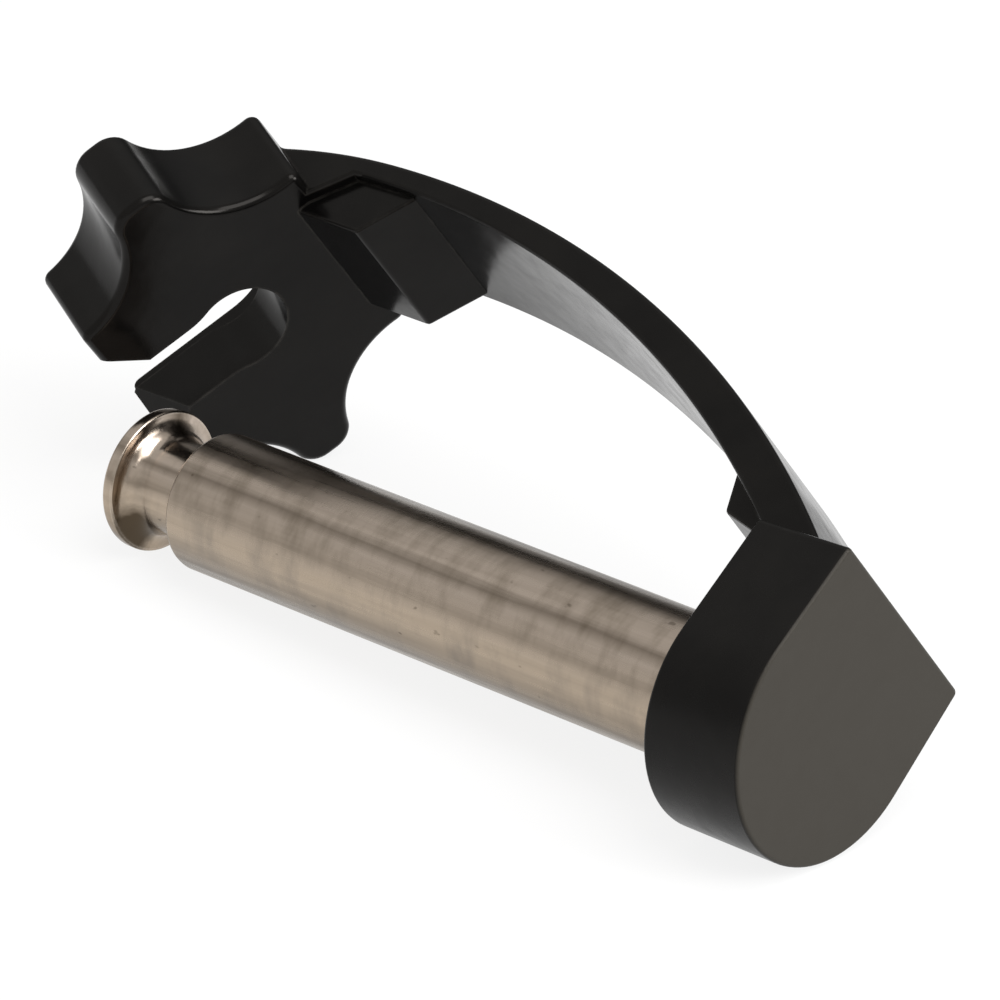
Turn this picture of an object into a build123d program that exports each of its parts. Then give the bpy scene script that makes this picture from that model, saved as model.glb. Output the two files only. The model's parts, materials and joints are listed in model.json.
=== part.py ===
import os
from math import acos, atan, atan2, cos, degrees, hypot, sin, sqrt

from build123d import *

# Hinge pin with a captive snap retainer: a turned steel pin whose tail is moulded into a block,
# and a flexible strap that swings a slotted clip over the groove behind the pin's head.
# Millimetres. The pieces are drawn with the pin along X, its free end at -X, the block's back
# face at X = 0 and the strap above it, and are laid down on their resting points at the end.

# Steel pin
pin_diameter = 16.0
shank_length = 77.0          # block face to groove
shank_chamfer = 0.6
groove_length = 8.2
groove_diameter = 11.0
groove_cove = 1.8            # hollow under the head
head_diameter = 16.4
head_thickness = 1.7
head_rim_round = 0.6
head_back_chamfer = 0.3
tail_length = 10.0           # hidden in the block, behind a shoulder that seats on its face
tail_diameter = 14.0
tail_chamfer = 0.8
anchor_diameter = 11.0       # groove in the tail that the moulding grips
anchor_width = 3.0

# Block: it widens from the face that the pin stands on to its far end
block_thickness = 13.3
block_face_width = 26.4      # along the top
block_face_arc_radius = 13.9
block_face_arc_rise = 0.35   # centre of the round bottom above the pin's axis
block_end_width = 29.0
block_end_arc_radius = 15.2
block_end_arc_rise = 1.7
block_top_height = 15.7      # above the pin's axis
block_corner_round = 0.6
block_edge_chamfer = 0.3

# Strap: its two faces are arcs about centres a little apart, so it thins towards the clip
strap_width = 22.0
strap_outer_radius = 123.0
strap_crown_height = 41.2
strap_crown_setback = 67.3   # crown of the outer face behind the block face
strap_crown_thickness = 2.7
strap_arc_shift = 4.0        # inner arc's centre beyond the outer one
strap_bend_radius = 75.0     # outer face's tighter bend down to the clip
strap_bend_start = 6.7       # beyond the crown
strap_edge_round = 0.5

# Gussets under both ends of the strap
gusset_width = 19.0
clip_gusset_drop = 2.4       # below the clip's top edge
clip_gusset_reach = 8.0
clip_gusset_slope = 4.7      # further reach at the strap
block_gusset_rise = 0.7      # above the block's top
block_gusset_reach = 7.3
block_gusset_slope = 1.6

# Clip
clip_tilt = 25.5             # when the strap is relaxed
clip_setback = 88.7          # seat centre on the clip's front face, from the block face
clip_height = 20.4
clip_thickness = 12.8
clip_top = 15.9              # above the seat's centre
clip_bottom = 14.6           # below it
lobe_span = 50.0
lobe_height = 6.6
lobe_drop = 0.9              # lobe's middle below the seat's centre
lobe_round = 3.0
knuckle_round = 1.2
upper_waist = 28.4
upper_scallop_radius = 11.6
lower_waist = 27.4
lower_scallop_radius = 10.4
clip_edge_chamfer = 0.35

# Snap slot in the clip
seat_clearance = 0.15        # round the groove
snap_bite = 0.65             # how far each lip closes over the groove
web_clearance = 0.3          # along the groove
head_clearance = 0.6         # round the head, in the pocket
lead_in = 4.4                # at the front face
lead_in_end = 0.5            # at the web's back

weld = 1.0                   # how far joined forms run into each other

pin_radius = pin_diameter / 2
tail_radius = tail_diameter / 2
groove_start = -shank_length
groove_end = groove_start - groove_length
head_end = groove_end - head_thickness
seat_radius = groove_diameter / 2 + seat_clearance
throat_width = groove_diameter - 2 * snap_bite
web_thickness = groove_length - web_clearance
pocket_radius = head_diameter / 2 + head_clearance

# The clip's front face: its local X runs across the strap, Y up the clip, Z towards its back
clip_face = Plane(
    origin=(-clip_setback, 0, clip_height),
    x_dir=(0, -1, 0),
    z_dir=Vector(-1, 0, 0).rotate(Axis.Y, clip_tilt),
)
clip_top_edge = clip_face.from_local_coords(Vector(0, clip_top, 0))

strap_outer_centre = Vector(-strap_crown_setback, 0, strap_crown_height - strap_outer_radius)
strap_inner_centre = strap_outer_centre - Vector(strap_arc_shift, 0, 0)
strap_inner_radius = strap_outer_radius - strap_crown_thickness


def arc_meeting(centre, radius, start, direction):
    # Point where a line from start leaves the circle
    offset = start - centre
    along = offset.dot(direction)
    return start + direction * (sqrt(along**2 - offset.dot(offset) + radius**2) - along)


def arc_above(centre, radius, x):
    # Point of the circle's upper half at x
    return Vector(x, 0, centre.Z + sqrt(radius**2 - (x - centre.X) ** 2))


def side_points(*points):
    # The same points in the side view's plane, X along the pin and Y up
    return [(point.X, point.Z) for point in points]


def ring(part, x, radius):
    # The pin's circular edges at one place along it
    return [
        edge
        for edge in part.edges().filter_by(GeomType.CIRCLE)
        if abs(edge.arc_center.X - x) < 0.01 and abs(edge.radius - radius) < 0.01
    ]


side_view = Plane(origin=(0, 0, 0), x_dir=(1, 0, 0), z_dir=(0, -1, 0))

# ---- Steel pin -------------------------------------------------------------------------
with BuildPart() as turned_pin:
    with BuildSketch(side_view):
        with BuildLine():
            Polyline(
                (head_end, 0),
                (head_end, head_diameter / 2),
                (groove_end, head_diameter / 2),
                (groove_end, groove_diameter / 2),
                (groove_start, groove_diameter / 2),
                (groove_start, pin_radius),
                (0, pin_radius),
                (0, tail_radius),
                (tail_length, tail_radius),
                (tail_length, 0),
                close=True,
            )
        make_face()
        with Locations((tail_length / 2, tail_radius)):
            Rectangle(anchor_width, tail_diameter - anchor_diameter, mode=Mode.SUBTRACT)
    revolve(axis=Axis.X)
    fillet(ring(turned_pin, groove_end, groove_diameter / 2), groove_cove)
    fillet(ring(turned_pin, head_end, head_diameter / 2), head_rim_round)
    chamfer(ring(turned_pin, groove_end, head_diameter / 2), head_back_chamfer)
    chamfer(ring(turned_pin, groove_start, pin_radius), shank_chamfer)
    chamfer(ring(turned_pin, tail_length, tail_radius), tail_chamfer)



def block_section(distance, width, arc_radius, arc_rise):
    # Straight sides that run tangent into a round bottom
    across = width / 2
    up = block_top_height - arc_rise
    tangent_angle = atan2(up, across) - acos(arc_radius / hypot(across, up))
    tangent_across = arc_radius * cos(tangent_angle)
    tangent_height = arc_rise + arc_radius * sin(tangent_angle)
    with BuildSketch(Plane.YZ.offset(distance)) as section:
        with BuildLine():
            Line((-across, block_top_height), (across, block_top_height))
            Line((across, block_top_height), (tangent_across, tangent_height))
            ThreePointArc(
                (tangent_across, tangent_height),
                (0, arc_rise - arc_radius),
                (-tangent_across, tangent_height),
            )
            Line((-tangent_across, tangent_height), (-across, block_top_height))
        make_face()
        fillet(section.vertices().group_by(Axis.Y)[-1], block_corner_round)
    return section.sketch


# ---- Block -----------------------------------------------------------------------------
block_face = block_section(0, block_face_width, block_face_arc_radius, block_face_arc_rise)
block_end = block_section(block_thickness, block_end_width, block_end_arc_radius, block_end_arc_rise)

with BuildPart() as block:
    loft(sections=[block_face, block_end], ruled=True)
    chamfer(block.faces().filter_by(Axis.X).edges(), block_edge_chamfer)

# ---- Strap -----------------------------------------------------------------------------
block_top_edge = Vector(0, 0, block_top_height)
bend_start = arc_above(strap_outer_centre, strap_outer_radius, strap_outer_centre.X - strap_bend_start)
bend_centre = bend_start + (strap_outer_centre - bend_start) * (strap_bend_radius / strap_outer_radius)
root = arc_meeting(bend_centre, strap_bend_radius, clip_top_edge, clip_face.z_dir)
outer_start = arc_above(bend_centre, strap_bend_radius, root.X - weld)
bend_middle = arc_above(bend_centre, strap_bend_radius, (outer_start.X + bend_start.X) / 2)
outer_end = arc_meeting(strap_outer_centre, strap_outer_radius, block_top_edge, Vector(1, 0, 0))
inner_end = arc_meeting(strap_inner_centre, strap_inner_radius, block_top_edge, Vector(1, 0, 0))
inner_start = arc_above(strap_inner_centre, strap_inner_radius, clip_top_edge.X + clip_gusset_reach / 2)
outer_middle = arc_above(strap_outer_centre, strap_outer_radius, (bend_start.X + outer_end.X) / 2)
inner_middle = arc_above(strap_inner_centre, strap_inner_radius, (inner_start.X + inner_end.X) / 2)
clip_brow = clip_face.from_local_coords(Vector(0, clip_top - weld, 0))
inside_clip = clip_face.from_local_coords(Vector(0, clip_top - weld, weld))
inside_clip_back = outer_start - clip_face.y_dir * weld

with BuildPart() as strap:
    with BuildSketch(side_view):
        with BuildLine():
            ThreePointArc(*side_points(outer_start, bend_middle, bend_start))
            ThreePointArc(*side_points(bend_start, outer_middle, outer_end))
            Polyline(
                *side_points(
                    outer_end,
                    outer_end - Vector(0, 0, weld),
                    inner_end + Vector(weld, 0, -weld),
                    inner_end,
                )
            )
            ThreePointArc(*side_points(inner_end, inner_middle, inner_start))
            Polyline(*side_points(inner_start, clip_brow, inside_clip, inside_clip_back, outer_start))
        make_face()
    extrude(amount=strap_width / 2, both=True)
    flanks = strap.faces().filter_by(Axis.Y).edges()
    fillet(flanks.filter_by(GeomType.CIRCLE), strap_edge_round)

# ---- Gussets ---------------------------------------------------------------------------
clip_gusset_low = clip_top_edge + Vector(clip_gusset_reach, 0, -clip_gusset_drop)
clip_gusset_high = arc_above(
    strap_inner_centre, strap_inner_radius, clip_gusset_low.X + clip_gusset_slope
)
block_gusset_low = block_top_edge + Vector(-block_gusset_reach, 0, block_gusset_rise)
block_gusset_high = arc_above(
    strap_inner_centre, strap_inner_radius, block_gusset_low.X - block_gusset_slope
)
up_into_strap = Vector(0, 0, weld)

with BuildPart() as gussets:
    with BuildSketch(side_view):
        with BuildLine():
            Polyline(
                *side_points(
                    clip_gusset_low - Vector(clip_gusset_reach + clip_gusset_drop + weld, 0, 0),
                    clip_gusset_low,
                    clip_gusset_high,
                    clip_gusset_high + up_into_strap,
                    inner_start + up_into_strap,
                    clip_brow + clip_face.z_dir * 2 * weld,
                ),
                close=True,
            )
        make_face()
        with BuildLine():
            Polyline(
                *side_points(
                    block_gusset_high + up_into_strap,
                    block_gusset_high,
                    block_gusset_low,
                    block_top_edge + Vector(weld, 0, -weld),
                    block_top_edge + Vector(weld, 0, block_gusset_reach / 2),
                ),
                close=True,
            )
        make_face()
    extrude(amount=gusset_width / 2, both=True)

# ---- Clip: a scalloped grip with the snap slot -----------------------------------------
upper_scallop = (upper_waist / 2 + upper_scallop_radius, lobe_height / 2 + upper_scallop_radius)
lower_scallop = (lower_waist / 2 + lower_scallop_radius, -lobe_height / 2 - lower_scallop_radius)

with BuildPart() as clip:
    with BuildSketch(clip_face) as grip_outline:
        with Locations((0, (clip_top - clip_bottom) / 2)):
            Rectangle(lobe_span, clip_top + clip_bottom)
        with Locations((0, -lobe_drop)):
            for side in (-1, 1):
                with Locations((side * upper_scallop[0], upper_scallop[1])):
                    Circle(upper_scallop_radius, mode=Mode.SUBTRACT)
                with Locations((side * lower_scallop[0], lower_scallop[1])):
                    Circle(lower_scallop_radius, mode=Mode.SUBTRACT)
        across = grip_outline.vertices().group_by(Axis.X)
        fillet(across[0] + across[-1], lobe_round)
        heights = grip_outline.vertices().group_by(Axis.Y)
        fillet(heights[0] + heights[-1], knuckle_round)
    extrude(amount=clip_thickness)
    chamfer(clip.faces().filter_by(clip_face).edges(), clip_edge_chamfer)

    # Slot: a round seat for the groove above a narrower throat
    with BuildSketch(clip_face):
        Circle(seat_radius)
        with Locations((0, -clip_bottom)):
            Rectangle(throat_width, clip_bottom, align=(Align.CENTER, Align.MIN))
    extrude(amount=clip_thickness, mode=Mode.SUBTRACT)

    # Pocket in the back for the pin's head
    with BuildSketch(clip_face.offset(web_thickness)):
        Circle(pocket_radius)
        with Locations((0, -clip_bottom)):
            Rectangle(2 * pocket_radius, clip_bottom, align=(Align.CENTER, Align.MIN))
    extrude(amount=clip_thickness, mode=Mode.SUBTRACT)

    # Sloping lead-in at each lip of the throat, wide in front and fading towards the back
    for side in (-1, 1):
        lip = Vector(side * throat_width / 2, -clip_bottom)
        for depth, leg in ((0, lead_in), (web_thickness, lead_in_end)):
            with BuildSketch(clip_face.offset(depth)):
                with BuildLine():
                    Polyline(
                        (lip.X - side * weld, lip.Y - weld),
                        (lip.X - side * weld, lip.Y + leg + weld),
                        (lip.X + side * (leg + weld), lip.Y - weld),
                        close=True,
                    )
                make_face()
        loft(ruled=True, mode=Mode.SUBTRACT)

# ---- Moulding in one piece, round the pin's tail ---------------------------------------
with BuildPart() as moulding:
    add(block.part)
    add(strap.part)
    add(gussets.part)
    add(clip.part)
    add(turned_pin.part, mode=Mode.SUBTRACT)

# ---- Laid down -------------------------------------------------------------------------
# The set rests on three points: the rim of the head, the lower back edge of the block and the
# rounded tip of one side lobe. The pin's slope follows from the heights of the head and the
# block over the floor, and the roll about the pin brings the lobe down to the same floor.
head_radius = head_diameter / 2
tip_middle = clip_face.from_local_coords(
    Vector(lobe_round - lobe_span / 2, lobe_round - lobe_drop - lobe_height / 2, 0)
)
tip_overhang = tip_middle.X / head_end - 1
tip_weight = tip_middle.Z + tip_overhang * block_face_arc_rise
tip_drop = lobe_round - head_radius + tip_overhang * (block_face_arc_radius - head_radius)
roll = acos(tip_drop / hypot(tip_weight, tip_middle.Y)) - atan2(tip_middle.Y, tip_weight)
slope = atan((block_face_arc_rise * cos(roll) - block_face_arc_radius + head_radius) / head_end)


def lay_down(part):
    return part.rotate(Axis.X, -degrees(roll)).rotate(Axis.Y, -degrees(slope))


lying_pin = lay_down(turned_pin.part)
lying_moulding = lay_down(moulding.part)
lying_box = lying_moulding.bounding_box().add(lying_pin.bounding_box())
to_floor = Vector(-lying_box.center().X, -lying_box.center().Y, -lying_box.min.Z)

with BuildPart() as hinge_pin:
    add(lying_pin.translate(to_floor))
with BuildPart() as retainer:
    add(lying_moulding.translate(to_floor))

hinge_pin.part.label = "hinge_pin"
retainer.part.label = "retainer"

os.makedirs("parts", exist_ok=True)
export_step(hinge_pin.part, "parts/hinge_pin.step")
export_step(retainer.part, "parts/retainer.step")
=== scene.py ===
import json
from math import acos, atan2, cos, hypot, pi, radians, sin, sqrt

import bmesh
import bpy
from mathutils import Matrix, Vector


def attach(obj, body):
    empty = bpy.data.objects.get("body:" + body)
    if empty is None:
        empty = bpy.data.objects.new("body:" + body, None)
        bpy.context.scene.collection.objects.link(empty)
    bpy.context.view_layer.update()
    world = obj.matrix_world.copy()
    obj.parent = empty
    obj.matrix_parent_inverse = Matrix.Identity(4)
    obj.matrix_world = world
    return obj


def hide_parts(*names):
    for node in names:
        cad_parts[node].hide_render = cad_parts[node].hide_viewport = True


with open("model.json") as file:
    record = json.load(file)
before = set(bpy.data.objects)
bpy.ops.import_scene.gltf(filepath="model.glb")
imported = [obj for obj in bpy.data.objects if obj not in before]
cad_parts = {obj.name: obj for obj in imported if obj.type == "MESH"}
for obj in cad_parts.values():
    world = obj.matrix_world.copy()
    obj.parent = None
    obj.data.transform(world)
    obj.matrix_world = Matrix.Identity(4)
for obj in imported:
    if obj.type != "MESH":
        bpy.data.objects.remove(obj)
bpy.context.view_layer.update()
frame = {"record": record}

metresPerMillimetre = 0.001
mergeDistance = 0.001     # in millimetres, as are the sizes of the pieces
hair = 0.01               # how near counts as the same place, and how far a cutter sticks out
cutThrough = 1.0

# The pieces are modelled in millimetres with the pin along X, its free end at -X, the block's
# face at X = 0 and the strap above, and are then laid where the frame has them.
mounts = {m["name"]: m for m in frame["record"]["mounts"]}
shankMiddle = Vector(mounts["shank"]["pos_m"])
alongPin = -Vector(mounts["shank"]["axis"]).normalized()
toEnd = Vector(mounts["block_end"]["pos_m"]) - shankMiddle
towardsStrap = (toEnd - alongPin * toEnd.dot(alongPin)).normalized()
acrossStrap = towardsStrap.cross(alongPin)
blockFace = shankMiddle + alongPin * mounts["shank"]["dims"]["length_mm"] / 2 * metresPerMillimetre
layDown = Matrix.Translation(blockFace) @ Matrix(
    (alongPin, acrossStrap, towardsStrap)).transposed().to_4x4() @ Matrix.Scale(metresPerMillimetre, 4)


def arcFrom(bm, start, centre, axis, angle, steps):
    # An arc of edges swept from one vertex, returns its last vertex
    swept = bmesh.ops.spin(bm, geom=[start], cent=centre, axis=axis, angle=angle, steps=steps)
    return next(v for v in swept["geom_last"] if isinstance(v, bmesh.types.BMVert))


def arcTo(bm, start, centre, place, steps):
    # The short way round a centre in the flat drawing of the clip
    a = start.co - centre
    b = place - centre
    turn = (atan2(b.y, b.x) - atan2(a.y, a.x) + pi) % (2 * pi) - pi
    return arcFrom(bm, start, centre, (0, 0, 1), turn, steps)


def lineTo(bm, start, place):
    end = bm.verts.new(place)
    bm.edges.new((start, end))
    return end


def fillAndExtrude(bm, offset):
    # A closed outline becomes a prism
    bmesh.ops.remove_doubles(bm, verts=bm.verts, dist=mergeDistance / 2)
    face = bmesh.ops.contextual_create(bm, geom=bm.edges[:])["faces"][0]
    raised = bmesh.ops.extrude_face_region(bm, geom=[face])
    top = [g for g in raised["geom"] if isinstance(g, bmesh.types.BMVert)]
    bmesh.ops.translate(bm, verts=top, vec=offset)
    bmesh.ops.recalc_face_normals(bm, faces=bm.faces)


def roundEdges(bm, edges, offset, segments):
    bmesh.ops.bevel(bm, geom=edges, offset=offset, offset_type="OFFSET", segments=segments,
                    profile=0.5, affect="EDGES", material=-1)


def asObject(bm, name):
    mesh = bpy.data.meshes.new(name)
    bm.to_mesh(mesh)
    bm.free()
    piece = bpy.data.objects.new(name, mesh)
    bpy.context.scene.collection.objects.link(piece)
    return piece


def combine(piece, other, operation):
    # Joins or cuts with another solid, which is used up
    step = piece.modifiers.new(operation.title(), "BOOLEAN")
    step.operation = operation
    step.solver = "EXACT"
    step.object = other
    applyAll(piece)
    bpy.data.objects.remove(other)


def applyAll(piece):
    bpy.context.view_layer.update()
    evaluated = piece.evaluated_get(bpy.context.evaluated_depsgraph_get())
    finished = bpy.data.meshes.new_from_object(evaluated)
    piece.modifiers.clear()
    piece.data = finished


def layPiece(piece, sharpAngle):
    piece.data.transform(layDown)
    piece.data.shade_smooth()
    piece.data.set_sharp_from_angle(angle=radians(sharpAngle))


pinSizes = {"radius": 8.0, "shank": 77.0, "chamfer": 0.6, "groove": 8.2, "grooveRadius": 5.5,
            "grooveCorner": 0.3, "cove": 2.4, "headRadius": 8.2, "head": 1.7, "headRim": 0.6,
            "headBack": 0.25, "inBlock": 3.0, "steps": 192}


def turnPin(s):
    grooveEnd = -s["shank"] - s["groove"]
    headEnd = grooveEnd - s["head"]
    bm = bmesh.new()
    point = bm.verts.new((headEnd, 0, 0))
    for x, r in ((headEnd, s["headRadius"]), (grooveEnd, s["headRadius"]),
                 (grooveEnd, s["grooveRadius"]), (-s["shank"], s["grooveRadius"]),
                 (-s["shank"], s["radius"]), (s["inBlock"], s["radius"]), (s["inBlock"], 0)):
        point = lineTo(bm, point, (x, 0, r))
    bmesh.ops.spin(bm, geom=bm.verts[:] + bm.edges[:], cent=(0, 0, 0), axis=(1, 0, 0),
                   angle=2 * pi, steps=s["steps"], use_merge=True)
    bmesh.ops.remove_doubles(bm, verts=bm.verts, dist=mergeDistance)
    bmesh.ops.recalc_face_normals(bm, faces=bm.faces)

    def onRing(v, x, r):
        return abs(v.co.x - x) < hair and abs(hypot(v.co.y, v.co.z) - r) < hair

    def ringEdges(x, r):
        return [e for e in bm.edges if all(onRing(v, x, r) for v in e.verts)]

    for x, r, size, segments in ((grooveEnd, s["grooveRadius"], s["cove"], 10),
                                 (headEnd, s["headRadius"], s["headRim"], 5),
                                 (grooveEnd, s["headRadius"], s["headBack"], 3),
                                 (-s["shank"], s["radius"], s["chamfer"], 3),
                                 (-s["shank"], s["grooveRadius"], s["grooveCorner"], 3)):
        roundEdges(bm, ringEdges(x, r), size, segments)
    return asObject(bm, "turned_pin")


pin = turnPin(pinSizes)
layPiece(pin, 35)
print("pin turned", len(pin.data.polygons))

# The block's face and end are two outlines: half width along the top, radius and rise of the
# round bottom. The strap's inner face is shifted from its outer one, so that it tapers, and weld
# is how far the parts of the moulding reach into each other before they are joined.
blockSizes = {"thickness": 13.3, "face": (13.2, 13.9, 0.35), "end": (14.5, 15.2, 1.7),
              "top": 15.7, "corner": 0.6, "edge": 0.45, "steps": 56}
strapSizes = {"halfWidth": 11.0, "radius": 123.0, "crown": 41.2, "setback": 67.3,
              "thickness": 2.7, "shift": 4.0, "bendRadius": 75.0, "bendStart": 6.7,
              "rootRadius": 2.6, "edge": 0.55, "weld": 1.0, "steps": 64}
clipSizes = {"tilt": 25.5, "setback": 88.7, "height": 20.4, "thickness": 12.8, "top": 15.9,
             "bottom": 14.6, "halfSpan": 25.0, "lobe": 6.6, "drop": 0.9, "lobeRound": 3.0,
             "knuckle": 1.2, "edge": 0.95, "upperWaist": 28.4, "upperScallop": 11.6,
             "lowerWaist": 27.4, "lowerScallop": 10.4, "knuckleSteps": 6, "scallopSteps": 20,
             "lobeSteps": 8}
slotSizes = {"seat": 5.65, "throat": 4.85, "web": 7.9, "pocket": 8.8, "leadIn": 4.4,
             "leadInEnd": 0.5, "lip": 8.0, "lipSteps": 6, "seatSteps": 64, "pocketSteps": 48}
gussetSizes = {"halfWidth": 9.5, "drop": 2.4, "reach": 8.0, "slope": 4.7, "rise": 0.7,
               "blockReach": 7.3, "blockSlope": 1.6, "edge": 0.4}

tilt = radians(clipSizes["tilt"])
clipNormal = Vector((-cos(tilt), 0, sin(tilt)))       # from the front face to the back
clipUp = Vector((sin(tilt), 0, cos(tilt)))
clipPlace = Matrix.Translation((-clipSizes["setback"], 0, clipSizes["height"])) @ Matrix(
    ((0, -1, 0), clipUp, clipNormal)).transposed().to_4x4()


def mouldBlock(s):
    bm = bmesh.new()

    def outline(x, topHalf, radius, rise):
        up = s["top"] - rise
        tangent = atan2(up, topHalf) - acos(radius / hypot(topHalf, up))
        first = bm.verts.new((x, topHalf, s["top"]))
        start = lineTo(bm, first, (x, radius * cos(tangent), rise + radius * sin(tangent)))
        end = arcFrom(bm, start, (x, 0, rise), (1, 0, 0), -(pi + 2 * tangent), s["steps"])
        last = lineTo(bm, end, (x, -topHalf, s["top"]))
        bm.edges.new((last, first))

    outline(0, *s["face"])
    outline(s["thickness"], *s["end"])
    loops = bm.edges[:]
    bmesh.ops.bridge_loops(bm, edges=loops)
    bmesh.ops.holes_fill(bm, edges=bm.edges, sides=0)
    bmesh.ops.recalc_face_normals(bm, faces=bm.faces)
    corners = [e for e in bm.edges if all(abs(v.co.z - s["top"]) < hair for v in e.verts)
               and abs(e.verts[0].co.x - e.verts[1].co.x) > s["thickness"] / 2]
    roundEdges(bm, corners, s["corner"], 4)
    roundEdges(bm, [e for e in bm.edges if all(v.co.x < mergeDistance for v in e.verts)
                    or all(v.co.x > s["thickness"] - mergeDistance for v in e.verts)], s["edge"], 3)
    return asObject(bm, "block")


def arcHeight(centre, radius, x):
    return centre.z + sqrt(radius ** 2 - (x - centre.x) ** 2)


def arcMeeting(centre, radius, start, direction):
    offset = start - centre
    reach = offset.dot(direction)
    return start + direction * (sqrt(reach ** 2 - offset.dot(offset) + radius ** 2) - reach)


outerCentre = Vector((-strapSizes["setback"], 0, strapSizes["crown"] - strapSizes["radius"]))
innerCentre = outerCentre - Vector((strapSizes["shift"], 0, 0))
innerRadius = strapSizes["radius"] - strapSizes["thickness"]
clipTopEdge = clipPlace @ Vector((0, clipSizes["top"], 0))
blockTopEdge = Vector((0, 0, blockSizes["top"]))
bendX = outerCentre.x - strapSizes["bendStart"]
bendPlace = Vector((bendX, 0, arcHeight(outerCentre, strapSizes["radius"], bendX)))
bendCentre = bendPlace.lerp(outerCentre, strapSizes["bendRadius"] / strapSizes["radius"])
rootCentre = arcMeeting(bendCentre, strapSizes["bendRadius"] + strapSizes["rootRadius"],
                        clipTopEdge + clipUp * strapSizes["rootRadius"], clipNormal)
outerEnd = arcMeeting(outerCentre, strapSizes["radius"], blockTopEdge, Vector((1, 0, 0)))
innerEnd = arcMeeting(innerCentre, innerRadius, blockTopEdge, Vector((1, 0, 0)))


def arcBetween(bm, start, centre, toPlace, steps):
    a = start.co - centre
    b = toPlace - centre
    angle = atan2(a.z, a.x) - atan2(b.z, b.x)         # turning about +Y goes clockwise in this view
    return arcFrom(bm, start, centre, (0, 1, 0), angle, steps)


def mouldStrap(s):
    weld = s["weld"]
    onClip = rootCentre - clipUp * s["rootRadius"]
    onBend = bendCentre + (rootCentre - bendCentre).normalized() * s["bendRadius"]
    innerStartX = clipTopEdge.x + gussetSizes["reach"] / 2
    innerStart = Vector((innerStartX, 0, arcHeight(innerCentre, innerRadius, innerStartX)))
    bm = bmesh.new()
    first = bm.verts.new(onClip)
    root = arcBetween(bm, first, rootCentre, onBend, 6)
    bend = arcBetween(bm, root, bendCentre, bendPlace, s["steps"] // 4)
    end = arcBetween(bm, bend, outerCentre, outerEnd, s["steps"])
    corner = lineTo(bm, end, outerEnd - Vector((0, 0, weld)))
    corner = lineTo(bm, corner, innerEnd + Vector((weld, 0, -weld)))
    start = lineTo(bm, corner, innerEnd)
    end = arcBetween(bm, start, innerCentre, innerStart, s["steps"])
    inside = lineTo(bm, end, clipPlace @ Vector((0, clipSizes["top"] - weld, 0)))
    inside = lineTo(bm, inside, onClip - clipUp * weld)
    bm.edges.new((inside, first))
    bmesh.ops.translate(bm, verts=bm.verts, vec=(0, -s["halfWidth"], 0))
    fillAndExtrude(bm, (0, 2 * s["halfWidth"], 0))
    roundEdges(bm, [e for e in bm.edges if abs(e.verts[0].co.y - e.verts[1].co.y) < mergeDistance],
               s["edge"], 3)
    return asObject(bm, "strap")


def mouldGusset(points, halfWidth):
    bm = bmesh.new()
    first = bm.verts.new(points[0])
    last = first
    for place in points[1:]:
        last = lineTo(bm, last, place)
    bm.edges.new((last, first))
    bmesh.ops.translate(bm, verts=bm.verts, vec=(0, -halfWidth, 0))
    fillAndExtrude(bm, (0, 2 * halfWidth, 0))
    roundEdges(bm, bm.edges[:], gussetSizes["edge"], 2)
    return asObject(bm, "gusset")


def clipGussetPoints(s, weld):
    low = clipTopEdge + Vector((s["reach"], 0, -s["drop"]))
    highX = low.x + s["slope"]
    high = Vector((highX, 0, arcHeight(innerCentre, innerRadius, highX)))
    rootX = clipTopEdge.x + s["reach"] / 2
    root = Vector((rootX, 0, arcHeight(innerCentre, innerRadius, rootX) + weld))
    brow = clipPlace @ Vector((0, clipSizes["top"] - weld, 2 * weld))
    inClip = low - Vector((s["reach"] + s["drop"] + weld, 0, 0))
    return inClip, low, high, high + Vector((0, 0, weld)), root, brow


def blockGussetPoints(s, weld):
    low = blockTopEdge + Vector((-s["blockReach"], 0, s["rise"]))
    highX = low.x - s["blockSlope"]
    high = Vector((highX, 0, arcHeight(innerCentre, innerRadius, highX)))
    return (high + Vector((0, 0, weld)), high, low, blockTopEdge + Vector((weld, 0, -weld)),
            blockTopEdge + Vector((weld, 0, s["blockReach"] / 2)))


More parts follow.
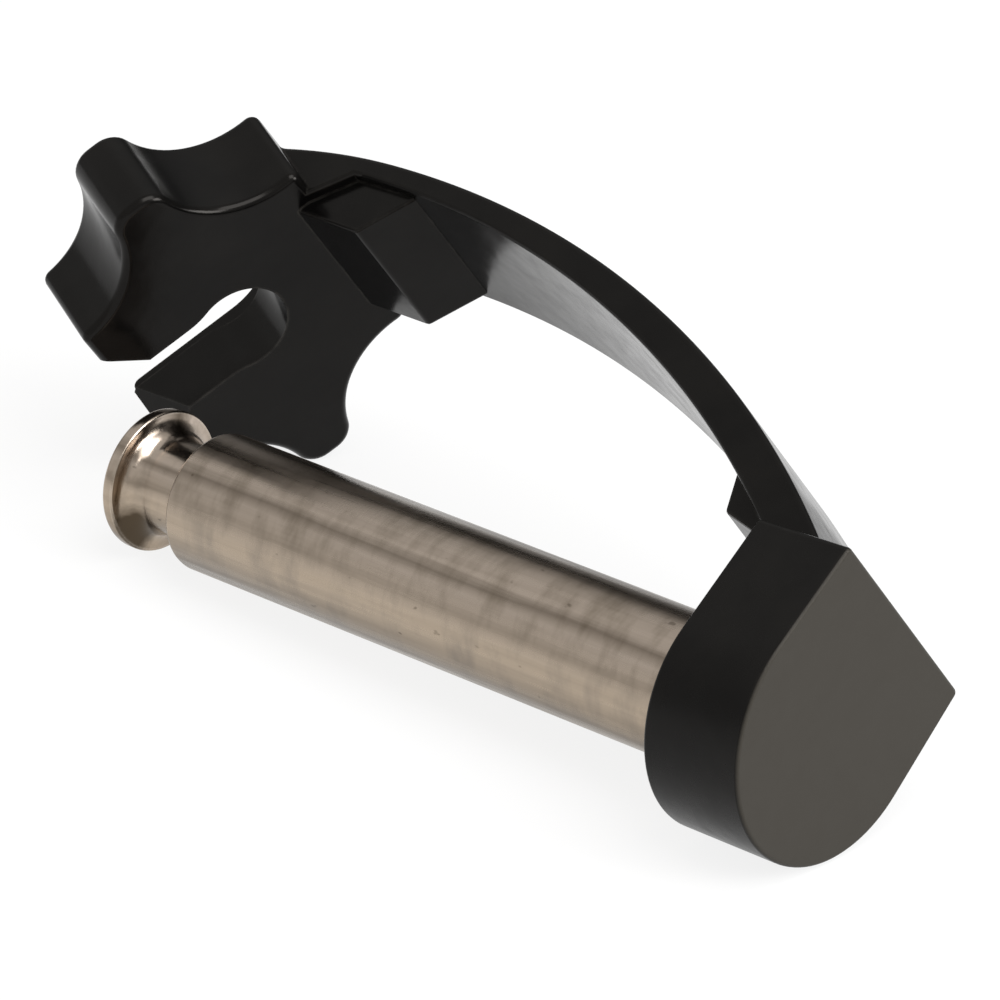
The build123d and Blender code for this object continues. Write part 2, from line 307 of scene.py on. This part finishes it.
def mouldClip(s):
    half, lobeRound, knuckle = s["halfSpan"], s["lobeRound"], s["knuckle"]
    upper = Vector((s["upperWaist"] / 2 + s["upperScallop"],
                    s["lobe"] / 2 + s["upperScallop"] - s["drop"], 0))
    lower = Vector((s["lowerWaist"] / 2 + s["lowerScallop"],
                    -s["lobe"] / 2 - s["lowerScallop"] - s["drop"], 0))

    def lobeCentre(scallop, radius, up):
        x = half - lobeRound
        return Vector((x, scallop.y - up * sqrt((radius + lobeRound) ** 2 - (x - scallop.x) ** 2), 0))

    def knuckleCentre(scallop, radius, edge, up):
        y = edge - up * knuckle
        return Vector((scallop.x - sqrt((radius + knuckle) ** 2 - (y - scallop.y) ** 2), y, 0))

    def touch(scallop, radius, centre):
        return scallop + (centre - scallop).normalized() * radius

    brow = knuckleCentre(upper, s["upperScallop"], s["top"], 1)
    lobeTop = lobeCentre(upper, s["upperScallop"], 1)
    lobeLow = lobeCentre(lower, s["lowerScallop"], -1)
    heel = knuckleCentre(lower, s["lowerScallop"], -s["bottom"], -1)

    # One half of the grip's outline: top edge, upper scallop, lobe, lower scallop, bottom edge
    bm = bmesh.new()
    point = lineTo(bm, bm.verts.new((0, s["top"], 0)), (brow.x, s["top"], 0))
    for centre, place, steps in (
            (brow, touch(upper, s["upperScallop"], brow), s["knuckleSteps"]),
            (upper, touch(upper, s["upperScallop"], lobeTop), s["scallopSteps"]),
            (lobeTop, Vector((half, lobeTop.y, 0)), s["lobeSteps"])):
        point = arcTo(bm, point, centre, place, steps)
    point = lineTo(bm, point, (half, lobeLow.y, 0))
    for centre, place, steps in (
            (lobeLow, touch(lower, s["lowerScallop"], lobeLow), s["lobeSteps"]),
            (lower, touch(lower, s["lowerScallop"], heel), s["scallopSteps"]),
            (heel, Vector((heel.x, -s["bottom"], 0)), s["knuckleSteps"])):
        point = arcTo(bm, point, centre, place, steps)
    lineTo(bm, point, (0, -s["bottom"], 0))
    bmesh.ops.mirror(bm, geom=bm.verts[:] + bm.edges[:], axis="X", merge_dist=mergeDistance)
    fillAndExtrude(bm, (0, 0, s["thickness"]))
    roundEdges(bm, [e for e in bm.edges if abs(e.verts[0].co.z - e.verts[1].co.z) < mergeDistance],
               s["edge"], 4)
    bm.transform(clipPlace)
    return asObject(bm, "clip")


def slotCutter(radius, halfWidth, fromDepth, toDepth, steps):
    # A round seat over a straight throat that runs out past the clip's bottom. A throat narrower
    # than its seat swells into it over rounded lips.
    lip = slotSizes["lip"] if halfWidth < radius else 0
    lipCentre = Vector((halfWidth + lip, -sqrt((radius + lip) ** 2 - (halfWidth + lip) ** 2), 0))
    onSeat = lipCentre * radius / (radius + lip)
    bm = bmesh.new()
    start = bm.verts.new((onSeat.x, onSeat.y, fromDepth))
    point = arcFrom(bm, start, (0, 0, fromDepth), (0, 0, 1),
                    2 * (pi - atan2(onSeat.x, -onSeat.y)), steps)
    if lip:
        point = arcTo(bm, point, lipCentre * Vector((-1, 1, 1)),
                      Vector((-halfWidth, lipCentre.y, 0)), slotSizes["lipSteps"])
    pastBottom = -clipSizes["bottom"] - 2 * cutThrough
    for x, y in ((-halfWidth, pastBottom), (halfWidth, pastBottom), (halfWidth, lipCentre.y)):
        point = lineTo(bm, point, (x, y, fromDepth))
    if lip:
        arcTo(bm, point, lipCentre, onSeat, slotSizes["lipSteps"])
    fillAndExtrude(bm, (0, 0, toDepth - fromDepth))
    bm.transform(clipPlace)
    return asObject(bm, "slotCutter")


def leadInCutter(side, s):
    # A wedge at one lip: wide at the front face and nearly gone at the web's back
    lipX, lipY = side * s["throat"], -clipSizes["bottom"]
    bm = bmesh.new()
    rings = []
    for depth, leg in ((-hair, s["leadIn"]), (s["web"] + hair, s["leadInEnd"])):
        rings.append([bm.verts.new((lipX - side * cutThrough, lipY - cutThrough, depth)),
                      bm.verts.new((lipX - side * cutThrough, lipY + leg + cutThrough, depth)),
                      bm.verts.new((lipX + side * (leg + cutThrough), lipY - cutThrough, depth))])
    bm.faces.new(rings[0])
    bm.faces.new(rings[1])
    for i in range(3):
        bm.faces.new((rings[0][i], rings[0][i - 1], rings[1][i - 1], rings[1][i]))
    bmesh.ops.recalc_face_normals(bm, faces=bm.faces)
    bm.transform(clipPlace)
    return asObject(bm, "leadInCutter")


def mouldRetainer():
    weld = strapSizes["weld"]
    pastBack = clipSizes["thickness"] + cutThrough
    clip = mouldClip(clipSizes)
    for cutter in (slotCutter(slotSizes["seat"], slotSizes["throat"], -cutThrough, pastBack,
                              slotSizes["seatSteps"]),
                   slotCutter(slotSizes["pocket"], slotSizes["pocket"], slotSizes["web"], pastBack,
                              slotSizes["pocketSteps"]),
                   leadInCutter(-1, slotSizes), leadInCutter(1, slotSizes)):
        combine(clip, cutter, "DIFFERENCE")
    body = mouldBlock(blockSizes)
    for part in (mouldStrap(strapSizes),
                 mouldGusset(clipGussetPoints(gussetSizes, weld), gussetSizes["halfWidth"]),
                 mouldGusset(blockGussetPoints(gussetSizes, weld), gussetSizes["halfWidth"]), clip):
        combine(body, part, "UNION")
    # Joining leaves slivers along the seams
    joined = bmesh.new()
    joined.from_mesh(body.data)
    bmesh.ops.remove_doubles(joined, verts=joined.verts, dist=hair)
    bmesh.ops.dissolve_limit(joined, angle_limit=radians(0.2), verts=joined.verts, edges=joined.edges)
    bmesh.ops.recalc_face_normals(joined, faces=joined.faces)
    joined.to_mesh(body.data)
    joined.free()
    body.name = "moulded_retainer"
    return body


retainer = mouldRetainer()
layPiece(retainer, 40)
smooth = retainer.modifiers.new("Normals", "WEIGHTED_NORMAL")
smooth.keep_sharp = True
print("retainer moulded", len(retainer.data.polygons))


def newMaterial(name):
    material = bpy.data.materials.new(name)
    material.use_nodes = True
    return material, material.node_tree.nodes, material.node_tree.links


def addNode(nodes, kind, inputs=None, **settings):
    node = nodes.new("ShaderNode" + kind)
    for name, value in settings.items():
        setattr(node, name, value)
    for name, value in (inputs or {}).items():
        node.inputs[name].default_value = value
    return node


def spread(nodes, links, value, low, high, toLow, toHigh):
    # Stretches one range of values onto another
    node = addNode(nodes, "MapRange",
                   {"From Min": low, "From Max": high, "To Min": toLow, "To Max": toHigh})
    links.new(value, node.inputs["Value"])
    return node.outputs["Result"]


def reckon(nodes, links, operation, first, second, clamp=False):
    both = addNode(nodes, "Math", operation=operation, use_clamp=clamp)
    links.new(first, both.inputs[0])
    links.new(second, both.inputs[1])
    return both.outputs["Value"]


def total(nodes, links, first, second):
    return reckon(nodes, links, "ADD", first, second)


def product(nodes, links, first, second):
    return reckon(nodes, links, "MULTIPLY", first, second)


def blend(nodes, links, share, first, second):
    # The first is a colour or another blend, the second a colour
    node = addNode(nodes, "Mix", {"B": second}, data_type="RGBA")
    if isinstance(first, tuple):
        node.inputs["A"].default_value = first
    else:
        links.new(first, node.inputs["A"])
    links.new(share, node.inputs["Factor"])
    return node.outputs["Result"]


def stripe(nodes, links, value, centre, half, strength):
    # A soft stripe round one value
    away = addNode(nodes, "Math", {1: centre}, operation="SUBTRACT")
    links.new(value, away.inputs[0])
    size = addNode(nodes, "Math", operation="ABSOLUTE")
    links.new(away.outputs["Value"], size.inputs[0])
    return spread(nodes, links, size.outputs["Value"], 0, half, strength, 0)


def newGroup(name, inputs, outputs):
    group = bpy.data.node_groups.new(name, "ShaderNodeTree")
    for label, kind in inputs:
        group.interface.new_socket(name=label, in_out="INPUT", socket_type="NodeSocket" + kind)
    for label, kind in outputs:
        group.interface.new_socket(name=label, in_out="OUTPUT", socket_type="NodeSocket" + kind)
    given = group.nodes.new("NodeGroupInput")
    result = group.nodes.new("NodeGroupOutput")
    return group, group.nodes, group.links, given, result


def useGroup(nodes, group, inputs=None):
    node = nodes.new("ShaderNodeGroup")
    node.node_tree = group
    for name, value in (inputs or {}).items():
        node.inputs[name].default_value = value
    return node


def ownMillimetres():
    # Millimetres along the part's own axes, so that patterns follow the pin and not the floor
    group, nodes, links, _, result = newGroup("own_millimetres", (), (("Place", "Vector"),))
    place = addNode(nodes, "TexCoord")
    turned = addNode(nodes, "Mapping", {"Location": layDown.to_translation(),
                                        "Rotation": layDown.to_euler(),
                                        "Scale": (metresPerMillimetre,) * 3}, vector_type="TEXTURE")
    links.new(place.outputs["Object"], turned.inputs["Vector"])
    links.new(turned.outputs["Vector"], result.inputs["Place"])
    return group


def edgeWearAndHighlight():
    # White on outer edges, broken up by noise; on the nylon it is wear, on the steel partly wear and
    # partly a painted highlight
    group, nodes, links, given, result = newGroup(
        "edge_wear_and_highlight", (("Place", "Vector"), ("Patchiness", "Float")), (("Mask", "Float"),))
    rounded = addNode(nodes, "Bevel", {"Radius": 0.0006}, samples=6)
    plain = addNode(nodes, "NewGeometry")
    facing = addNode(nodes, "VectorMath", operation="DOT_PRODUCT")
    links.new(rounded.outputs["Normal"], facing.inputs[0])
    links.new(plain.outputs["Normal"], facing.inputs[1])
    edge = spread(nodes, links, facing.outputs["Value"], 0.995, 0.86, 0, 1)
    patches = addNode(nodes, "TexNoise", {"Scale": 0.35, "Detail": 5, "Roughness": 0.6})
    links.new(given.outputs["Place"], patches.inputs["Vector"])
    reach = product(nodes, links, patches.outputs["Fac"], given.outputs["Patchiness"])
    wornAndHighlight = spread(nodes, links, reach, 0.4, 0.62, 0.15, 1)
    mask = reckon(nodes, links, "MULTIPLY", edge, wornAndHighlight, clamp=True)
    links.new(mask, result.inputs["Mask"])
    return group


def smudges():
    # Broad soft clouds and, over them, finer finger marks
    group, nodes, links, given, result = newGroup(
        "smudges", (("Place", "Vector"), ("Size", "Float")), (("Clouds", "Float"), ("Marks", "Float")))
    for label, scale, detail, low, high in (("Clouds", 0.09, 3, 0.35, 0.68),
                                            ("Marks", 0.3, 4, 0.42, 0.8)):
        sized = addNode(nodes, "Math", {0: scale}, operation="DIVIDE")
        links.new(given.outputs["Size"], sized.inputs[1])
        noise = addNode(nodes, "TexNoise", {"Detail": detail, "Roughness": 0.62})
        links.new(given.outputs["Place"], noise.inputs["Vector"])
        links.new(sized.outputs["Value"], noise.inputs["Scale"])
        links.new(spread(nodes, links, noise.outputs["Fac"], low, high, 0, 1), result.inputs[label])
    return group


def stretchedNoise(nodes, links, place, stretch, detail, roughness):
    mapping = addNode(nodes, "Mapping", {"Scale": stretch})
    noise = addNode(nodes, "TexNoise", {"Scale": 1.0, "Detail": detail, "Roughness": roughness})
    links.new(place, mapping.inputs["Vector"])
    links.new(mapping.outputs["Vector"], noise.inputs["Vector"])
    return noise.outputs["Fac"]


def raiseRelief(nodes, links, shader, *reliefs):
    # Reliefs one over the other: a height, its strength and its depth in metres
    normal = None
    for height, strength, depth in reliefs:
        bump = addNode(nodes, "Bump", {"Strength": strength, "Distance": depth})
        links.new(height, bump.inputs["Height"])
        if normal:
            links.new(normal, bump.inputs["Normal"])
        normal = bump.outputs["Normal"]
    links.new(normal, shader.inputs["Normal"])


millimetres, wearAndHighlight, handling = ownMillimetres(), edgeWearAndHighlight(), smudges()
nylonLook = {"deep": (0.0008, 0.0008, 0.0009, 1), "soft": (0.003, 0.0028, 0.0026, 1),
             "wornAndHighlight": (0.03, 0.028, 0.025, 1), "knocked": (0.032, 0.029, 0.024, 1),
             "smooth": 0.17, "dull": 0.27, "blockDull": 0.1, "endDull": 0.14,
             "specular": 0.15, "sheen": (1, 0.95, 0.9, 1), "patchiness": 1.0, "smudgeSize": 1.0,
             "blockFrom": -3, "scuffFrom": 0.35, "scuffTo": 0.05,
             "sinks": 0.16, "sinkDepth": 0.0002, "grain": 2.6, "grainDepth": 0.00003}


def blackNylon(look):
    material, nodes, links = newMaterial("black_nylon")
    shader = nodes["Principled BSDF"]
    shader.inputs["Specular IOR Level"].default_value = look["specular"]
    shader.inputs["Specular Tint"].default_value = look["sheen"]
    place = useGroup(nodes, millimetres).outputs["Place"]
    marks = useGroup(nodes, handling, {"Size": look["smudgeSize"]})
    edges = useGroup(nodes, wearAndHighlight, {"Patchiness": look["patchiness"]})
    links.new(place, marks.inputs["Place"])
    links.new(place, edges.inputs["Place"])
    apart = addNode(nodes, "SeparateXYZ")
    links.new(place, apart.inputs["Vector"])
    along = apart.outputs["X"]

    # The block's far end is scuffed, because it is what gets knocked and pressed
    end = blockSizes["thickness"]
    scuffed = spread(nodes, links, along, end - look["scuffFrom"], end - look["scuffTo"], 0, 1)
    tone = blend(nodes, links, marks.outputs["Clouds"], look["deep"], look["soft"])
    rubbed = blend(nodes, links, edges.outputs["Mask"], tone, look["wornAndHighlight"])
    links.new(blend(nodes, links, scuffed, rubbed, look["knocked"]), shader.inputs["Base Color"])

    # The block is duller than the strap and the clip
    dull = reckon(nodes, links, "MAXIMUM", marks.outputs["Marks"], edges.outputs["Mask"])
    rough = spread(nodes, links, dull, 0, 1, look["smooth"], look["dull"])
    rough = total(nodes, links, rough,
                  spread(nodes, links, along, look["blockFrom"], 0, 0, look["blockDull"]))
    rough = total(nodes, links, rough, spread(nodes, links, scuffed, 0, 1, 0, look["endDull"]))
    links.new(rough, shader.inputs["Roughness"])

    grain = addNode(nodes, "TexNoise", {"Scale": look["grain"], "Detail": 4, "Roughness": 0.55})
    sinks = addNode(nodes, "TexNoise", {"Scale": look["sinks"], "Detail": 2})
    links.new(place, grain.inputs["Vector"])
    links.new(place, sinks.inputs["Vector"])
    raiseRelief(nodes, links, shader, (sinks.outputs["Fac"], 0.35, look["sinkDepth"]),
                (grain.outputs["Fac"], 0.12, look["grainDepth"]))
    return material


# Painted dark reflections and shade round the shank are each a middle and a half width in degrees, and
# a strength
steelLook = {"grey": (0.49, 0.415, 0.35, 1), "warmReflection": (0.415, 0.338, 0.258, 1),
             "stain": (0.3, 0.25, 0.2, 1), "line": (0.08, 0.06, 0.04, 1),
             "wornAndHighlight": (0.75, 0.68, 0.6, 1), "polished": 0.22, "rubbed": 0.36, "turned": 0.09,
             "turnedBlend": 0.4, "patchiness": 1.1, "warmReflectionFrom": 105, "warmReflectionTo": 138,
             "paintedDarkBands": ((32, 18, 0.85), (96, 8.5, 0.58), (124, 9, 0.26), (182, 36, 0.75)),
             "wobble": 2, "streaks": (0.035, 0.9, 0.9), "blotches": (0.3, 0.13, 0.13),
             "nicks": (0.45, 0.75, 0.75), "nickDark": 0.5, "rings": 3.5,
             "undersideFrom": 145, "undersideTo": 165, "undersideReach": (2.7, 1.2), "undersideDark": 0.85,
             "ringDepth": 0.00002, "dentDepth": 0.00005}


def turnedSteel(look):
    material, nodes, links = newMaterial("turned_steel")
    shader = nodes["Principled BSDF"]
    shader.inputs["Metallic"].default_value = 1
    place = useGroup(nodes, millimetres).outputs["Place"]
    edges = useGroup(nodes, wearAndHighlight, {"Patchiness": look["patchiness"]})
    links.new(place, edges.inputs["Place"])
    grooveStart = -pinSizes["shank"]
    headFace = grooveStart - pinSizes["groove"]
    flatEnd = headFace - pinSizes["head"]

    # Streaks along the shank from polishing, blotches and nicks from use
    streaks = stretchedNoise(nodes, links, place, look["streaks"], 5, 0.6)
    blotches = stretchedNoise(nodes, links, place, look["blotches"], 4, 0.6)
    nicked = stretchedNoise(nodes, links, place, look["nicks"], 2, 0.5)

    # Degrees round the shank, from the strap's side down to the far side
    apart = addNode(nodes, "SeparateXYZ")
    links.new(place, apart.inputs["Vector"])
    along = apart.outputs["X"]
    sideways = addNode(nodes, "Math", operation="ABSOLUTE")
    links.new(apart.outputs["Y"], sideways.inputs[0])
    turn = reckon(nodes, links, "ARCTAN2", sideways.outputs["Value"], apart.outputs["Z"])
    degrees = addNode(nodes, "Math", operation="DEGREES")
    links.new(turn, degrees.inputs[0])
    wobble = spread(nodes, links, streaks, 0.3, 0.7, -look["wobble"], look["wobble"])
    angle = total(nodes, links, degrees.outputs["Value"], wobble)
    onSide = spread(nodes, links, along, flatEnd, flatEnd + 0.5, 0, 1)

    # Rings from the lathe run round the shank and across its flat end
    fromAxis = addNode(nodes, "VectorMath", operation="LENGTH")
    across = addNode(nodes, "Mapping", {"Scale": (0, 1, 1)})
    rings = addNode(nodes, "TexNoise", {"Scale": look["rings"], "Detail": 3, "Roughness": 0.6},
                    noise_dimensions="1D")
    links.new(place, across.inputs["Vector"])
    links.new(across.outputs["Vector"], fromAxis.inputs[0])
    links.new(total(nodes, links, along, fromAxis.outputs["Value"]), rings.inputs["W"])

    # Painted warm reflection: the lower side of the shank is tinted warmer, as it mirrors the pale
    # floor
    warmReflected = spread(nodes, links, angle, look["warmReflectionFrom"], look["warmReflectionTo"], 0, 1)
    tone = blend(nodes, links, product(nodes, links, warmReflected, onSide), look["grey"], look["warmReflection"])
    stain = total(nodes, links, spread(nodes, links, streaks, 0.4, 0.7, 0, 0.3),
                  spread(nodes, links, blotches, 0.45, 0.7, 0, 0.8))
    stained = blend(nodes, links, stain, tone, look["stain"])

    # Painted dark bands along the shank stand in for dark reflections and shade, and the groove is
    # darker on its underside just under the head
    lines = stripe(nodes, links, angle, *look["paintedDarkBands"][0])
    for line in look["paintedDarkBands"][1:]:
        lines = total(nodes, links, lines, stripe(nodes, links, angle, *line))
    nicks = spread(nodes, links, nicked, 0.71, 0.77, 0, look["nickDark"])
    lines = total(nodes, links, product(nodes, links, lines, onSide), nicks)
    # The groove is darker on its underside just under the head
    thin, thick = look["undersideReach"]
    darkAlongGroove = product(
        nodes, links, spread(nodes, links, along, headFace + thin, headFace + thick, 0, look["undersideDark"]),
        spread(nodes, links, along, headFace - 0.3, headFace, 0, 1))
    darkOnUnderside = spread(nodes, links, angle, look["undersideFrom"], look["undersideTo"], 0, 1)
    lines = total(nodes, links, lines, product(nodes, links, darkAlongGroove, darkOnUnderside))
    lined = blend(nodes, links, lines, stained, look["line"])
    # Outer edges are lighter: partly wear, partly a painted highlight on the chamfers
    links.new(blend(nodes, links, edges.outputs["Mask"], lined, look["wornAndHighlight"]),
              shader.inputs["Base Color"])

    # The groove and the head are brighter turned than the shank
    rough = spread(nodes, links, streaks, 0.3, 0.7, look["polished"], look["rubbed"])
    brighter = spread(nodes, links, along, grooveStart - look["turnedBlend"], grooveStart,
                      -look["turned"], 0)
    links.new(total(nodes, links, rough, brighter), shader.inputs["Roughness"])
    raiseRelief(nodes, links, shader, (rings.outputs["Fac"], 0.25, look["ringDepth"]),
                (streaks, 0.3, look["dentDepth"]))
    return material


for piece, node, slotName, material in (
        (pin, "hinge_pin", "pin_steel", turnedSteel(steelLook)),
        (retainer, "retainer", "retainer_nylon", blackNylon(nylonLook))):
    piece.data.materials.clear()
    piece.data.materials.append(material)
    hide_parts(node)
    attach(piece, "root")

view = {"aim": (0.019858, -0.020929, 0.030083), "azimuth": 42.268, "elevation": 25.889, "roll": 3.05,
        "distance": 0.73389, "lens": 251.45, "nearest": 0.01}


def setCamera(s):
    a, e, r = radians(s["azimuth"]), radians(s["elevation"]), radians(s["roll"])
    back = Vector((sin(a) * cos(e), -cos(a) * cos(e), sin(e)))
    level = Vector((cos(a), sin(a), 0))
    upward = back.cross(level)
    right = level * cos(r) + upward * sin(r)
    camera = bpy.data.objects.new("camera", bpy.data.cameras.new("camera"))
    camera.data.lens = s["lens"]
    camera.data.clip_start = s["nearest"]
    camera.matrix_world = Matrix.Translation(Vector(s["aim"]) + back * s["distance"]) @ Matrix(
        (right, back.cross(right), back)).transposed().to_4x4()
    bpy.context.scene.collection.objects.link(camera)
    bpy.context.scene.camera = camera


setCamera(view)
floorLook = {"colour": (0.9, 0.9, 0.9, 1), "rough": 0.9, "white": 0.85, "size": 3}


def layFloor(look):
    bm = bmesh.new()
    bmesh.ops.create_grid(bm, x_segments=1, y_segments=1, size=look["size"])
    floor = asObject(bm, "floor")
    material, nodes, links = newMaterial("floor_white")
    shader = nodes["Principled BSDF"]
    shader.inputs["Base Color"].default_value = look["colour"]
    shader.inputs["Roughness"].default_value = look["rough"]
    shader.inputs["Specular IOR Level"].default_value = 0
    # Seen directly or in a gloss the floor is nearly plain white, with a light shadow
    white = addNode(nodes, "Emission", {"Color": (1, 1, 1, 1), "Strength": 1})
    rays = addNode(nodes, "LightPath")
    seen = reckon(nodes, links, "ADD", rays.outputs["Is Camera Ray"], rays.outputs["Is Glossy Ray"],
                  clamp=True)
    seen = reckon(nodes, links, "ADD", seen, rays.outputs["Is Transmission Ray"], clamp=True)
    share = addNode(nodes, "Math", {1: look["white"]}, operation="MULTIPLY")
    links.new(seen, share.inputs[0])
    mixed = addNode(nodes, "MixShader")
    links.new(share.outputs["Value"], mixed.inputs["Fac"])
    links.new(shader.outputs["BSDF"], mixed.inputs[1])
    links.new(white.outputs["Emission"], mixed.inputs[2])
    links.new(mixed.outputs["Shader"], nodes["Material Output"].inputs["Surface"])
    floor.data.materials.append(material)


layFloor(floorLook)


def hangLight(name, place, aim, size, power):
    lamp = bpy.data.lights.new(name, "AREA")
    lamp.shape = "RECTANGLE"
    lamp.size, lamp.size_y = size
    lamp.energy = power
    light = bpy.data.objects.new(name, lamp)
    direction = Vector(aim) - Vector(place)
    facing = direction.to_track_quat("-Z", "Y").to_matrix().to_4x4()
    light.matrix_world = Matrix.Translation(place) @ facing
    light.visible_camera = False
    bpy.context.scene.collection.objects.link(light)


# The side light draws the grip's edges
hangLight("keyLight", (0.5, -0.1, 0.9), (0, 0, 0), (0.8, 0.8), 9)
hangLight("sideLight", (0.83, 0.3, 0.43), (0, 0, 0.03), (0.45, 0.4), 6)
roomLook = {"colour": (1.0, 0.985, 0.96, 1), "towards": (0, -0.55, 0.83), "dim": 0.08, "bright": 0.7,
            "horizon": 0.3, "horizonTop": 0.14, "horizonFull": 0.08}


def lightRoom(look):
    # A soft room, brighter in front and overhead than behind, with a pale band at floor level
    world = bpy.data.worlds.new("room")
    bpy.context.scene.world = world
    world.use_nodes = True
    nodes, links = world.node_tree.nodes, world.node_tree.links
    nodes["Background"].inputs["Color"].default_value = look["colour"]
    direction = addNode(nodes, "TexCoord")
    facing = addNode(nodes, "VectorMath", {1: look["towards"]}, operation="DOT_PRODUCT")
    height = addNode(nodes, "SeparateXYZ")
    links.new(direction.outputs["Generated"], facing.inputs[0])
    links.new(direction.outputs["Generated"], height.inputs["Vector"])
    overhead = spread(nodes, links, facing.outputs["Value"], -0.25, 0.5, look["dim"], look["bright"])
    band = spread(nodes, links, height.outputs["Z"], look["horizonTop"], look["horizonFull"], 0,
                  look["horizon"])
    links.new(reckon(nodes, links, "MAXIMUM", overhead, band), nodes["Background"].inputs["Strength"])


lightRoom(roomLook)
bpy.context.scene.view_settings.view_transform = "Standard"
print("lights and camera set")
